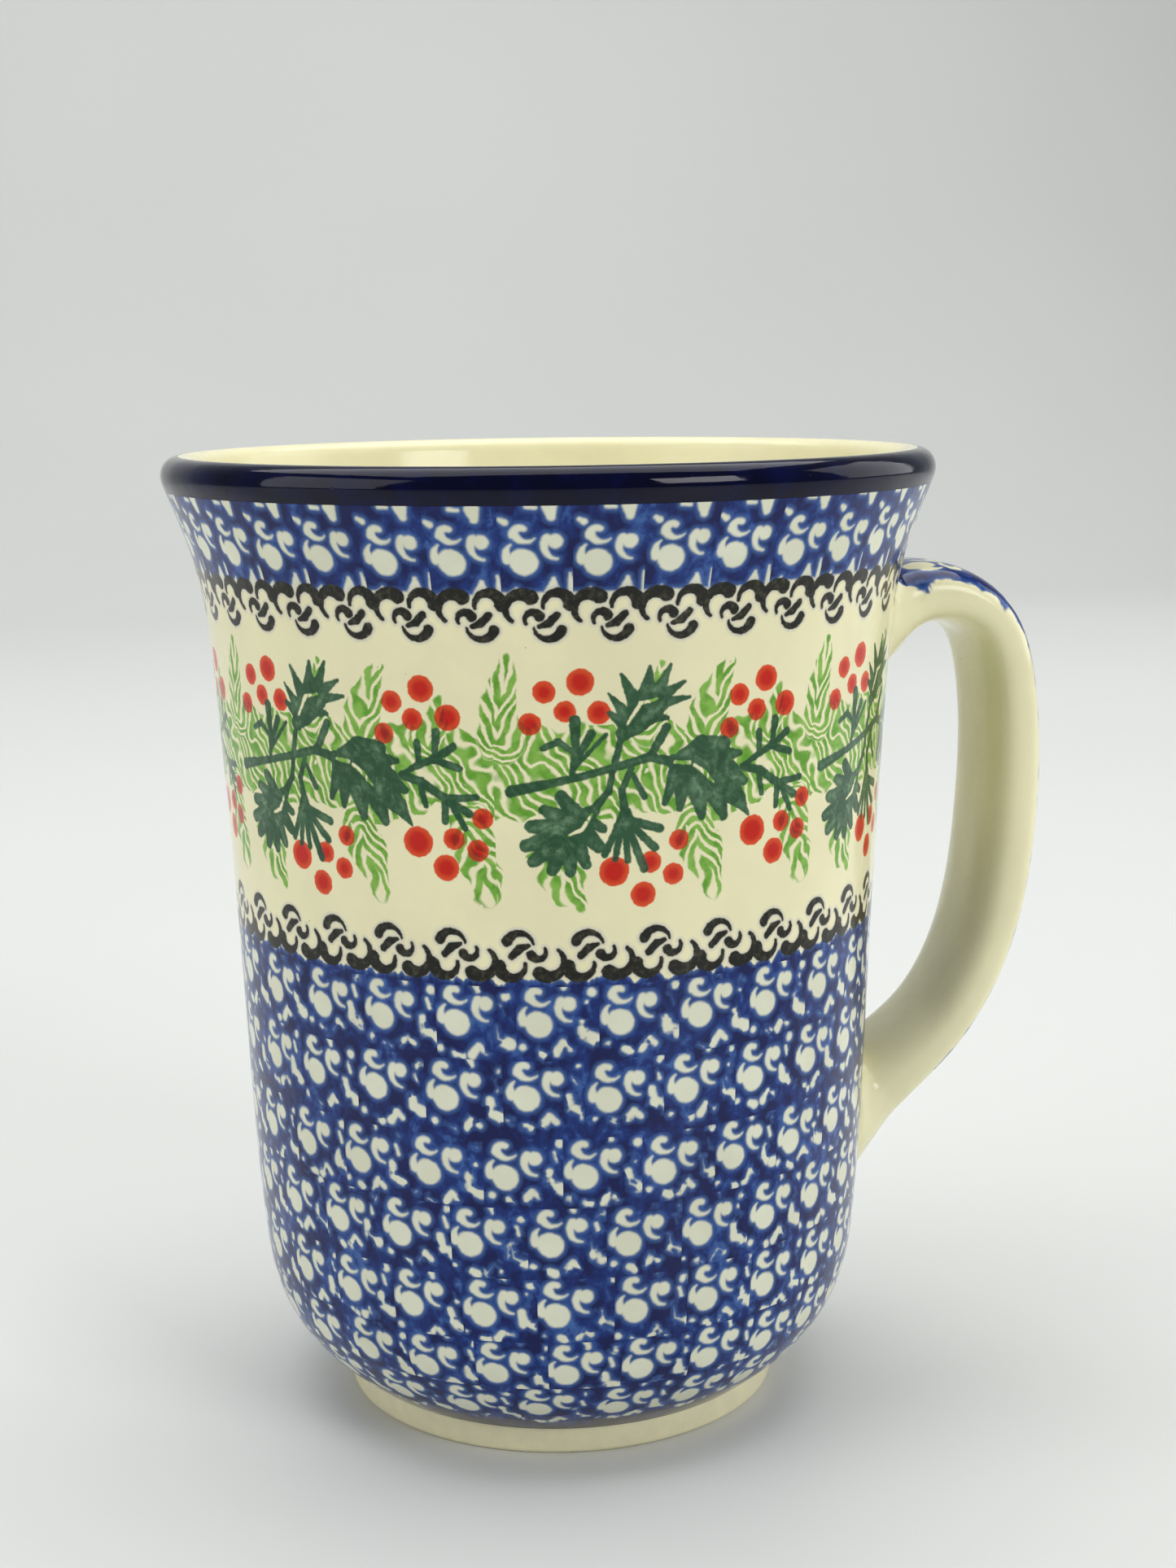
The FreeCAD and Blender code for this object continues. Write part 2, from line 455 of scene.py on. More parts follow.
def arc_distance(g, where, centre, ahead, aside, radius, half, taper, width):
    from_centre = g.vector("SUBTRACT", where, centre)
    x = g.vector("DOT_PRODUCT", from_centre, ahead)
    y = g.vector("DOT_PRODUCT", from_centre, aside)
    turn = g.math("MINIMUM", g.math("ARCTAN2", y, x), half)
    turn = g.math("MAXIMUM", turn, g.negative(half))
    x = g.math("SUBTRACT", x, g.math("MULTIPLY", g.math("COSINE", turn), radius))
    y = g.math("SUBTRACT", y, g.math("MULTIPLY", g.math("SINE", turn), radius))
    far = g.vector("LENGTH", g.join(x, y))
    return g.math("SUBTRACT", g.math("MULTIPLY_ADD", turn, taper, far), width)


def blob_numbers(centre, radius):
    yield (*centre, 0.0), radius


def line_numbers(points, radii):
    """Each straight stroke of a line whose half-width changes from point to point."""
    for start, end, wide, narrow in zip(points, points[1:], radii, radii[1:]):
        run = (end[0] - start[0], end[1] - start[1])
        square = run[0] ** 2 + run[1] ** 2
        towards = (run[0] / square, run[1] / square, 0.0)
        yield (*start, 0.0), towards, (-run[0], -run[1], 0.0), wide, wide - narrow


def arc_numbers(centre, radius, start, end, thick, thin):
    """An arc from one angle to another, in degrees, with its two half-widths."""
    middle = math.radians((start + end) / 2.0)
    half = math.radians(abs(end - start) / 2.0)
    sense = 1.0 if end > start else -1.0
    ahead = (math.cos(middle), math.sin(middle), 0.0)
    aside = (-math.sin(middle) * sense, math.cos(middle) * sense, 0.0)
    taper = (thick - thin) / (2.0 * half)
    yield (*centre, 0.0), ahead, aside, radius, half, taper, (thick + thin) / 2.0


SHAPE_NUMBERS = {"blob": blob_numbers, "line": line_numbers, "arc": arc_numbers}
SHAPE_GROUPS = {
    "blob": shape_group("blob", blob_distance, ["centre"], ["radius"]),
    "line": shape_group(
        "line", line_distance, ["start", "towards", "back"], ["wide", "taper"]
    ),
    "arc": shape_group(
        "arc", arc_distance, ["centre", "ahead", "aside"], ["radius", "half", "taper", "width"]
    ),
}


def new_material(name):
    material = bpy.data.materials.new(name)
    material.use_nodes = True
    return material, Graph(material.node_tree)


# ---- decoration --------------------------------------------------------------------------------
# Shapes are in millimetres, drawn on the unrolled wall. Their places follow the reference
# mug's own stamps, many of them as a measuring program printed them.
COMMA_TRIPLET = [
    ("blob", (-0.05, -0.02), 1.42),
    ("blob", (-0.30, 0.18), 1.32),
    ("arc", (-0.70, 1.02), 1.16, 212.0, 128.0, 0.62, 0.10),
    ("arc", (-0.35, 3.10), 0.70, 62.0, 186.0, 0.34, 0.50),
    ("arc", (0.20, 3.52), 1.26, 198.0, 314.0, 0.50, 0.07),
    ("blob", (3.15, 2.3), 0.80),
    ("arc", (3.39, 1.71), 1.36, 140.0, 268.0, 0.54, 0.12),
]
# Slips of bare ground left where four prints of the stamp meet.
GAP_MARKS = [
    ("line", [(4.5, 0.3), (4.7, -1.1), (5.9, -1.7)], [0.38, 0.54, 0.64]),
    ("line", [(1.7, -3.1), (2.5, -2.0), (3.3, -2.7)], [0.44, 0.34, 0.26]),
    ("line", [(-0.1, -3.0), (0.5, -3.3)], [0.36, 0.46]),
    ("line", [(2.3, 5.1), (2.6, 4.2)], [0.40, 0.24]),
    ("blob", (5.6, 3.6), 0.44),
    ("line", [(5.1, 2.5), (5.4, 1.5)], [0.16, 0.18]),
    ("blob", (-1.9, -2.5), 0.34),
]
BLACK_SCROLL = [
    ("arc", (0.75, 1.85), 1.42, 188.0, 8.0, 0.22, 0.82),
    ("arc", (4.15, 1.5), 1.62, 232.0, 52.0, 0.24, 0.82),
    ("arc", (5.3, 0.35), 0.82, 208.0, 26.0, 0.20, 0.57),
    ("line", [(-1.05, -0.35), (-0.1, 0.0), (0.75, 0.85)], [0.26, 0.50, 0.43]),
    ("arc", (-0.15, -0.2), 1.50, 192.0, 338.0, 0.16, 0.60),
]
SCROLL_LEFT = -1.9         # where one print of the scroll ends, from the middle of its inner curl
# Strokes, each as its points and its half-width at each point.
HOLLY_BRANCH = [
    (
        [(-11.4, -2.4), (-6.0, -1.3), (-1.2, -0.2), (3.1, 0.9), (5.6, 0.3)],
        [0.66, 0.44, 0.44, 0.5, 0.55],
    ),
    ([(-0.7, -0.3), (0.2, 3.5)], [0.42, 0.35]),
    ([(-0.8, -0.6), (-1.2, -2.6), (-2.7, -4.4)], [0.34, 0.40, 0.5]),
    ([(1.2, -0.2), (0.2, -2.6), (0.6, -5.2)], [0.36, 0.40, 0.5]),
    ([(1.4, -0.9), (2.6, -3.3)], [0.26, 0.42]),
    ([(3.2, 0.9), (5.0, 4.0)], [0.5, 0.5]),
    # upper spiny leaf
    ([(0.4, 3.6), (1.6, 5.0), (3.4, 7.0)], [0.9, 1.6, 1.9]),
    ([(0.5, 4.6), (-1.1, 5.8)], [0.8, 0.3]),
    ([(0.9, 5.2), (-1.2, 7.9)], [0.9, 0.12]),
    ([(1.8, 6.4), (0.1, 9.9)], [1.0, 0.2]),
    ([(2.8, 7.4), (3.1, 10.6)], [1.1, 0.2]),
    ([(3.8, 7.4), (5.3, 10.7)], [0.9, 0.2]),
    ([(4.0, 7.2), (6.9, 8.8)], [0.9, 0.2]),
    ([(4.0, 6.6), (7.5, 7.1)], [0.8, 0.2]),
    ([(2.6, 5.4), (5.1, 5.0)], [1.1, 0.25]),
    # large right-hand leaf
    ([(5.9, 0.2), (8.4, -0.6), (11.6, -2.2)], [0.9, 1.9, 2.4]),
    ([(6.6, 0.8), (9.0, 1.7), (11.6, 1.7)], [0.6, 1.2, 0.9]),
    ([(11.2, 0.6), (13.7, 0.5)], [1.1, 0.35]),
    ([(11.6, -1.2), (14.4, -2.6)], [1.6, 0.5]),
    ([(12.0, -2.8), (13.6, -4.4), (15.1, -6.4)], [1.8, 1.0, 0.15]),
    ([(10.6, -3.0), (11.9, -6.2)], [1.5, 0.55]),
    ([(8.6, -2.2), (9.2, -5.9)], [1.6, 0.5]),
    ([(7.0, -1.4), (6.6, -4.9)], [1.3, 0.4]),
    ([(6.2, -0.8), (4.9, -4.2)], [1.0, 0.35]),
    # lower lobed leaf
    ([(-2.8, -4.6), (-5.8, -7.0)], [0.7, 2.1]),
    ([(-4.4, -5.2), (-6.2, -3.0)], [1.0, 0.7]),
    ([(-5.6, -5.6), (-8.0, -4.4)], [1.2, 0.6]),
    ([(-6.4, -6.4), (-9.4, -6.2)], [1.2, 0.7]),
    ([(-6.8, -7.4), (-10.0, -8.3)], [1.2, 0.7]),
    ([(-6.6, -8.0), (-9.2, -10.0)], [1.2, 0.7]),
    ([(-6.2, -8.4), (-7.2, -11.0)], [1.2, 0.65]),
    ([(-5.4, -8.4), (-5.3, -11.2)], [1.1, 0.6]),
    ([(-4.8, -7.8), (-3.6, -10.4)], [1.1, 0.6]),
    ([(-4.0, -6.6), (-2.2, -8.6)], [1.1, 0.7]),
    ([(-3.4, -5.6), (-1.8, -6.6)], [0.7, 0.5]),
    # needle spray above the branch
    ([(-5.1, -1.1), (-4.6, 2.0), (-4.7, 5.1)], [0.3, 0.42, 0.62]),
    ([(-4.8, 0.4), (-3.0, 3.7)], [0.3, 0.5]),
    ([(-4.7, 0.2), (-1.5, 3.5)], [0.26, 0.25]),
    ([(-4.7, 1.6), (-6.4, 2.9), (-8.0, 2.2)], [0.3, 0.4, 0.35]),
    # drooping fan
    ([(0.6, -5.0), (0.5, -6.4)], [0.7, 1.2]),
    ([(-0.2, -6.4), (-1.6, -9.4)], [0.42, 0.40]),
    ([(0.1, -6.8), (-0.5, -10.0)], [0.40, 0.36]),
    ([(0.6, -6.8), (0.9, -10.2)], [0.40, 0.38]),
    ([(1.0, -6.8), (2.7, -11.2)], [0.42, 0.50]),
    ([(1.3, -6.4), (3.9, -9.0)], [0.42, 0.48]),
    ([(1.0, -5.8), (4.4, -6.9)], [0.5, 0.5]),
    # thin spray at the right
    ([(14.0, -1.0), (16.2, 0.2), (18.3, 1.1), (20.1, 2.3)], [0.3, 0.4, 0.45, 0.45]),
    ([(16.3, 0.2), (16.1, 2.6)], [0.35, 0.45]),
    ([(18.0, 1.0), (18.3, 3.8)], [0.35, 0.5]),
    ([(18.0, 0.8), (20.6, 0.0)], [0.4, 0.45]),
    ([(14.2, -1.0), (16.4, -1.6), (19.1, -3.4), (21.6, -4.9)], [0.5, 0.5, 0.5, 0.45]),
    ([(16.2, -1.6), (16.8, -4.2)], [0.4, 0.35]),
    ([(19.0, -3.2), (18.9, -5.8)], [0.45, 0.4]),
    ([(19.6, -3.8), (21.1, -6.5)], [0.4, 0.35]),
    ([(19.4, -3.3), (22.4, -3.1)], [0.45, 0.4]),
]
LEAF_VEINS = [
    ([(0.8, 4.6), (2.1, 6.7), (3.9, 7.1)], [0.14, 0.24, 0.10]),
    ([(6.0, 0.2), (7.6, 0.0)], [0.18, 0.22]),
    ([(8.2, -0.3), (9.4, -1.1), (10.5, -2.4)], [0.20, 0.24, 0.10]),
    ([(-3.0, -5.0), (-4.0, -6.6), (-5.4, -7.2)], [0.12, 0.22, 0.12]),
]
# Each berry as its place and radius.
BERRIES = [
    (-9.3, 4.8, 1.2), (-7.8, 8.2, 1.2), (-4.1, 9.2, 1.45), (-5.7, 6.1, 1.15), (-2.2, 5.9, 1.25),
    (12.3, 3.4, 1.15), (13.4, 6.9, 1.2), (16.8, 8.4, 1.45), (15.7, 5.1, 1.2), (19.6, 5.4, 1.4),
    (-0.6, -11.3, 1.65), (3.4, -10.5, 1.2), (2.6, -14.0, 1.4), (6.0, -12.0, 1.2),
    (6.6, -8.3, 1.15), (15.7, -8.2, 1.7), (19.8, -7.7, 1.2), (18.8, -10.9, 1.45),
    (22.4, -8.9, 1.2), (23.0, -5.4, 1.15),
]
# Where the light green plumes grow, each as a wide stroke from its foot to its tip.
PLUMES = [
    ([(-12.6, 3.0), (-12.3, 7.5), (-11.5, 10.9)], [2.4, 2.0, 0.9]),
    ([(2.6, 4.0), (4.6, 11.3)], [1.6, 0.6]),
    ([(9.2, 3.0), (10.4, 6.9), (12.0, 10.4)], [2.4, 2.0, 0.9]),
    ([(-6.8, -9.0), (-5.8, -12.4), (-4.4, -14.9)], [2.7, 2.2, 1.0]),
    ([(8.6, -7.0), (9.8, -10.9), (11.0, -13.9)], [2.6, 2.2, 1.0]),
    ([(21.6, -7.0), (22.6, -10.9), (23.4, -13.9)], [2.4, 2.0, 1.0]),
    ([(17.4, 2.0), (18.6, 7.2)], [2.2, 0.9]),
]
MOSS_MIDDLE = -0.6         # height of the middle of the curled filling, on the branch's print
MOSS_HALF_HEIGHT = 4.6     # how far it reaches above and below there
BARB_PITCH = 1.9           # millimetres up a plume from one barb to the next
BARB_SLANT = 1.6           # how steeply the barbs rise from a plume's edge to its middle
BARB_HALF = 0.30           # half the width of a barb, in pitches
CURL_PITCH = 1.55          # millimetres between the lines of the curled filling
CURL_SLANT = 0.6
CURL_HALF = 0.32
PLUME_SWAY = 3.0           # how far noise bends the plumes, in millimetres
CURL_SWAY = 6.0


def moved_shape(shape, shift):
    kind, place, *rest = shape
    if kind == "line":
        return (kind, [(x + shift, y) for x, y in place], *rest)
    return (kind, (place[0] + shift, place[1]), *rest)


def reach(shape):
    """The furthest left and right that a shape comes."""
    kind, place, *rest = shape
    if kind == "line":
        wide = max(rest[0])
        return min(x for x, _ in place) - wide, max(x for x, _ in place) + wide
    wide = rest[0] + (max(rest[3:]) if kind == "arc" else 0.0)
    return place[0] - wide, place[0] + wide


def wrapped(shapes, left, width):
    """The shapes, with copies one print along for those that cross the print's ends."""
    result = []
    for shape in shapes:
        result.append(shape)
        low, high = reach(shape)
        if low < left:
            result.append(moved_shape(shape, width))
        if high > left + width:
            result.append(moved_shape(shape, -width))
    return result


def as_lines(strokes):
    return [("line", points, radii) for points, radii in strokes]


# ---- materials ---------------------------------------------------------------------------------
def object_millimetres(g):
    where = g.node("ShaderNodeTexCoord").outputs["Object"]
    return g.vector("SCALE", where, 1.0 / MM)


def around_the_cup(g, where):
    """Turns round the cup from the handle, from 0 to 1, and the distance from the axis."""
    x, y, _ = g.split(where)
    turns = g.math("FRACT", g.math("DIVIDE", g.math("ARCTAN2", y, x), 2.0 * math.pi))
    radius = g.vector("LENGTH", g.join(x, y))
    return turns, radius


def columns(g, turns, radius, count, phase):
    """Splits the turn into equal cells: the cell's number and the distance from its middle."""
    place = g.math("MULTIPLY_ADD", turns, count, phase)
    number = g.math("FLOORED_MODULO", g.math("FLOOR", place), count)
    width = g.math("DIVIDE", g.math("MULTIPLY", radius, 2.0 * math.pi), count)
    aside = g.math("SUBTRACT", g.math("FRACT", place), 0.5)
    return number, g.math("MULTIPLY", aside, width)


def phase_of(azimuth, count):
    """The shift that puts the middle of one of a number of equal cells at an azimuth."""
    return 0.5 - azimuth / 360.0 * count


def wandered(g, p, chance, reach):
    """A point moved by up to the reach, by the random numbers of its cell."""
    move = g.vector("SUBTRACT", chance, (0.5, 0.5, 0.5))
    return g.vector("MULTIPLY_ADD", move, (reach * 2.0, reach * 2.0, 0.0), p)


def ragged(g, p, where, scale=1.6, reach=0.10):
    """A point shifted by fine noise, so that printed edges come out uneven."""
    shift = g.vector("SUBTRACT", g.noise(where, scale, 2.0, colour=True), (0.5, 0.5, 0.5))
    return g.vector("MULTIPLY_ADD", shift, (reach * 2.0, reach * 2.0, 0.0), p)


def glazed(g, colour, where, ripple=1.0, gloss=0.26, rough=0.10):
    """Clear glaze over a coloured body: glossy, with faint ripples and pinholes."""
    shader = g.node("ShaderNodeBsdfPrincipled")
    g.plug(shader.inputs["Base Color"], colour)
    uneven = g.noise(where, 0.35, 3.0)
    g.plug(shader.inputs["Roughness"], g.ramp(uneven, 0.3, 0.7, rough, rough + 0.07))
    shader.inputs["IOR"].default_value = 1.5
    shader.inputs["Specular IOR Level"].default_value = gloss
    pinhole = g.ramp(g.cells(where, 0.42)[0], 0.0, 0.07)
    peel = g.noise(where, 0.22, 2.0, 0.45)
    height = g.math("MULTIPLY_ADD", peel, 0.35 * ripple, g.math("MULTIPLY", pinhole, 0.05))
    finish_surface(g, shader, height, 0.35)


def finish_surface(g, shader, height, strength):
    """Sends a shader to the output, with bumps given in millimetres."""
    bump = g.node("ShaderNodeBump")
    bump.inputs["Strength"].default_value = strength
    bump.inputs["Distance"].default_value = MM
    g.plug(bump.inputs["Height"], height)
    g.plug(shader.inputs["Normal"], bump.outputs[0])
    g.plug(g.node("ShaderNodeOutputMaterial").inputs["Surface"], shader.outputs[0])


def cream_ground(g, where, pale=CREAM, deep=CREAM_WARM):
    """Cream stoneware under clear glaze, a little uneven, with sparse iron specks."""
    colour = g.mix(g.ramp(g.noise(where, 0.09, 3.0, 0.6), 0.35, 0.7), pale, deep)
    grain = g.noise(where, 3.2, 2.0, 0.7)
    colour = g.mix(g.ramp(grain, 0.52, 0.75, 0.0, 0.45), colour, deep)
    distance, chance = g.cells(where, 0.28)
    speck = g.ramp(distance, 0.02, 0.045, 0.65, 0.0)
    speck = g.math("MULTIPLY", speck, g.math("GREATER_THAN", g.split(chance)[0], 0.72))
    return g.mix(speck, colour, IRON_SPECK)


def cobalt_wash(g, where, hollow):
    """Sponged cobalt: pooled and thin patches, and a pale rim round bare shapes."""
    pool = g.noise(g.vector("MULTIPLY", where, (1.0, 1.0, 0.6)), 0.30, 3.0, 0.6, 0.8)
    pool = g.math("MULTIPLY", pool, 0.85)
    tone = g.math("MULTIPLY_ADD", g.noise(where, 1.1, 2.0, 0.6), 0.30, pool)
    colour = g.mix(g.ramp(tone, 0.46, 0.72), COBALT_DARK, COBALT_MID)
    colour = g.mix(g.ramp(tone, 0.64, 0.82, 0.0, 0.8), colour, COBALT_PALE)
    return g.mix(g.ramp(hollow, 0.05, 0.75, 0.6, 0.0), colour, COBALT_PALE)


def haloed(g, colour, scroll):
    """The faint grey bleed round a black print, under the glaze."""
    return g.mix(g.ramp(scroll, 0.0, 0.5, 0.6, 0.0), colour, HALO_GREY)


def inked_black(g, colour, where, scroll):
    """Lays a black print over a colour, worn thin in places."""
    wear = g.ramp(g.noise(where, 1.3, 3.0, 0.7), 0.45, 0.8)
    return g.mix(g.cover(scroll, 0.09), colour, g.mix(wear, BLACK_INK, BLACK_WORN))


ROW_CENTRES = (55.3, 46.8, 37.9, 29.8, 21.4, 13.6, 6.9)     # runs of the large commas
ROW_COUNTS = (27.0, 27.0, 27.0, 27.0, 27.0, 27.0, 23.0)
ROW_AZIMUTHS = (255.7, 253.2, 249.5, 243.4, 244.8, 246.4, 254.4)
TRIPLET_TOP = 4.45         # from a large comma's middle to the top of its cell
TRIPLET_MIDDLE = 1.9       # from a large comma's middle to the middle of its cell
FIELD_RADIUS = 37.6        # a typical radius of the wall there
STAMP_EDGE = 0.20          # softness of a comma's edge
FOOT_LINE = (0.6, 1.3)     # the blue line over the foot fades out between these rises


def lower_field_material():
    material, g = new_material("cobalt_commas")
    where = object_millimetres(g)
    turns, radius = around_the_cup(g, where)
    run = g.attribute("wall_run")
    row = 0.0
    for centre in ROW_CENTRES[1:]:
        row = g.math("ADD", row, g.math("LESS_THAN", run, centre + TRIPLET_TOP))
    count = g.steps(row, ROW_COUNTS)
    ahead = math.degrees(TRIPLET_MIDDLE / FIELD_RADIUS)
    phases = [phase_of(azimuth + ahead, n) for azimuth, n in zip(ROW_AZIMUTHS, ROW_COUNTS)]
    number, aside = columns(g, turns, radius, count, g.steps(row, phases))
    up = g.math("SUBTRACT", run, g.steps(row, ROW_CENTRES))
    p = ragged(g, g.join(g.math("ADD", aside, TRIPLET_MIDDLE), up), where)
    hollow = g.drawn(wandered(g, p, g.random(number, row, 1.0), 0.22), COMMA_TRIPLET)
    gaps = g.drawn(wandered(g, p, g.random(number, row, 3.0), 0.45), GAP_MARKS)
    worn = g.ramp(g.noise(where, 0.45, 2.0), 0.38, 0.56, 0.5, -0.06)
    hollow = g.math("MINIMUM", hollow, g.math("ADD", gaps, worn))
    cream = cream_ground(g, where, CREAM_BLUED, CREAM_DULL)
    colour = g.mix(g.cover(hollow, STAMP_EDGE), cobalt_wash(g, where, hollow), cream)
    low, high = [run_at(FOOT_HEIGHT) + rise for rise in FOOT_LINE]
    foot_line = g.ramp(run, low, high, 1.0, 0.0)
    glazed(g, g.mix(foot_line, colour, FOOT_LINE_BLUE), where)
    return material


UPPER_COUNT = 36           # prints round the mug
UPPER_AZIMUTH = 265.1      # of the middle of one large comma
UPPER_RUN = 105.6          # of the middles of the large commas
UPPER_RADIUS = 42.8        # of the wall there
UPPER_MIDDLE = 1.1         # from a large comma's middle to the middle of its cell
UPPER_BLUE_BOTTOM = -3.3   # below the middle of the large commas
UPPER_GAP_MARKS = [
    ("line", [(2.8, UPPER_BLUE_BOTTOM), (2.9, -1.9)], [0.9, 0.24]),
    ("line", [(4.75, UPPER_BLUE_BOTTOM), (4.6, -1.3)], [0.42, 0.14]),
    ("line", [(2.65, 6.1), (2.8, 5.0)], [0.80, 0.46]),
    ("line", [(-1.2, UPPER_BLUE_BOTTOM - 0.3), (-0.9, UPPER_BLUE_BOTTOM + 0.4)], [0.7, 0.15]),
    ("line", [(-2.4, 4.7), (-1.9, 4.4)], [0.24, 0.36]),
    ("line", [(0.3, 6.1), (1.2, 6.0)], [0.26, 0.20]),
]
# Both black scrolls: prints round the mug, and the azimuth, run and wall radius of one print's
# inner curl.
UPPER_SCROLLS = 37
UPPER_SCROLL_AZIMUTH = 268.0
UPPER_SCROLL_RUN = 99.0
UPPER_SCROLL_RADIUS = 41.6
LOWER_SCROLLS = 33
LOWER_SCROLL_AZIMUTH = 263.5
LOWER_SCROLL_RUN = 63.9
LOWER_SCROLL_RADIUS = 38.8


def scroll_border(g, where, turns, radius, up, count, azimuth, mean_radius):
    """The black scroll border; a negative count draws it the other way up."""
    pitch = 2.0 * math.pi * mean_radius / abs(count)
    shift = SCROLL_LEFT + pitch / 2.0
    middle = azimuth + math.degrees(math.copysign(shift / mean_radius, count))
    _, aside = columns(g, turns, radius, float(abs(count)), phase_of(middle, abs(count)))
    if count < 0:
        aside = g.negative(aside)
    p = ragged(g, g.join(g.math("ADD", aside, shift), up), where, 2.2, 0.12)
    return g.drawn(p, wrapped(BLACK_SCROLL, SCROLL_LEFT, pitch))


def upper_field_material():
    material, g = new_material("cobalt_commas_and_scroll")
    where = object_millimetres(g)
    turns, radius = around_the_cup(g, where)
    run = g.attribute("wall_run")
    phase = phase_of(UPPER_AZIMUTH + math.degrees(UPPER_MIDDLE / UPPER_RADIUS), UPPER_COUNT)
    number, aside = columns(g, turns, radius, float(UPPER_COUNT), phase)
    up = g.math("SUBTRACT", run, UPPER_RUN)
    p = ragged(g, g.join(g.math("ADD", aside, UPPER_MIDDLE), up), where)
    hollow = g.drawn(wandered(g, p, g.random(number, 7.0, 2.0), 0.15), COMMA_TRIPLET)
    loose = wandered(g, p, g.random(number, 2.0, 5.0), 0.25)
    hollow = g.math("MINIMUM", hollow, g.drawn(loose, UPPER_GAP_MARKS))
    below = g.math("SUBTRACT", g.split(loose)[1], UPPER_BLUE_BOTTOM)
    hollow = g.math("MINIMUM", hollow, below)
    up = g.math("SUBTRACT", run, UPPER_SCROLL_RUN)
    scroll = scroll_border(
        g, where, turns, radius, up, UPPER_SCROLLS, UPPER_SCROLL_AZIMUTH, UPPER_SCROLL_RADIUS
    )
    low = g.ramp(below, -0.6, 0.4)
    cream = cream_ground(
        g, where, g.mix(low, CREAM, CREAM_BLUED), g.mix(low, CREAM_WARM, CREAM_DULL)
    )
    cream = haloed(g, cream, scroll)
    colour = g.mix(g.cover(hollow, STAMP_EDGE), cobalt_wash(g, where, hollow), cream)
    glazed(g, inked_black(g, colour, where, scroll), where)
    return material


GARLAND_PITCH = 54.35      # degrees from one print of the holly branch to the next
GARLAND_AZIMUTH = 268.55   # the middle of one print's branch
GARLAND_RUN = 83.5
GARLAND_WIDTH = 37.5       # millimetres round the wall for one print
GARLAND_LEFT = -13.2       # the print's left end, from the middle of its branch
LOWER_BLUE_TOP = 60.8      # typical height of the blue under the lower scroll
LOWER_BLUE_WAVE = 4.5      # its ragged edge spans at most this, from this far below that height
LOWER_BLUE_DROP = 2.6
LOWER_BLUE_ROUND = 240.0   # about the millimetres round the mug there


def stripes(g, value, pitch, half):
    """The distance, in pitches of a value, to evenly spaced lines of a half width."""
    part = g.math("SUBTRACT", g.math("FRACT", g.math("DIVIDE", value, pitch)), 0.5)
    return g.math("SUBTRACT", g.math("ABSOLUTE", part), half)


def light_green(g, p):
    """Feathery light green plumes, and a curled filling along the branch."""
    bend = g.vector("SUBTRACT", g.noise(p, 0.26, 1.0, colour=True), (0.5, 0.5, 0.5))
    swayed = g.vector("MULTIPLY_ADD", bend, (PLUME_SWAY, PLUME_SWAY, 0.0), p)
    whole = g.drawn(swayed, wrapped(as_lines(PLUMES), GARLAND_LEFT, GARLAND_WIDTH), 0.5)
    height = g.math("ABSOLUTE", g.split(swayed)[1])
    slanted = g.math("MULTIPLY_ADD", whole, -BARB_SLANT, height)
    barbs = stripes(g, slanted, BARB_PITCH, BARB_HALF)
    plumes = g.math("MAXIMUM", g.math("MULTIPLY", barbs, 1.3), whole)
    curled = g.vector("MULTIPLY_ADD", bend, (CURL_SWAY, CURL_SWAY, 0.0), p)
    x, y, _ = g.split(curled)
    curls = stripes(g, g.math("MULTIPLY_ADD", y, CURL_SLANT, x), CURL_PITCH, CURL_HALF)
    middle = g.math("ABSOLUTE", g.math("SUBTRACT", y, MOSS_MIDDLE))
    moss = g.without(g.math("SUBTRACT", middle, MOSS_HALF_HEIGHT), whole)
    moss = g.math("MAXIMUM", moss, curls)
    broken = g.math("MULTIPLY_ADD", g.noise(p, 0.5, 1.0), 5.0, -3.7)
    return g.math("MAXIMUM", g.math("MINIMUM", plumes, moss), broken)


def printed(g, colour, cover, ink, see_through):
    """Lays a transparent ink over a colour, darkening what is already there."""
    under = g.mix(see_through, (1.0, 1.0, 1.0), colour)
    return g.mix(cover, colour, g.mix(1.0, ink, under, "MULTIPLY"))


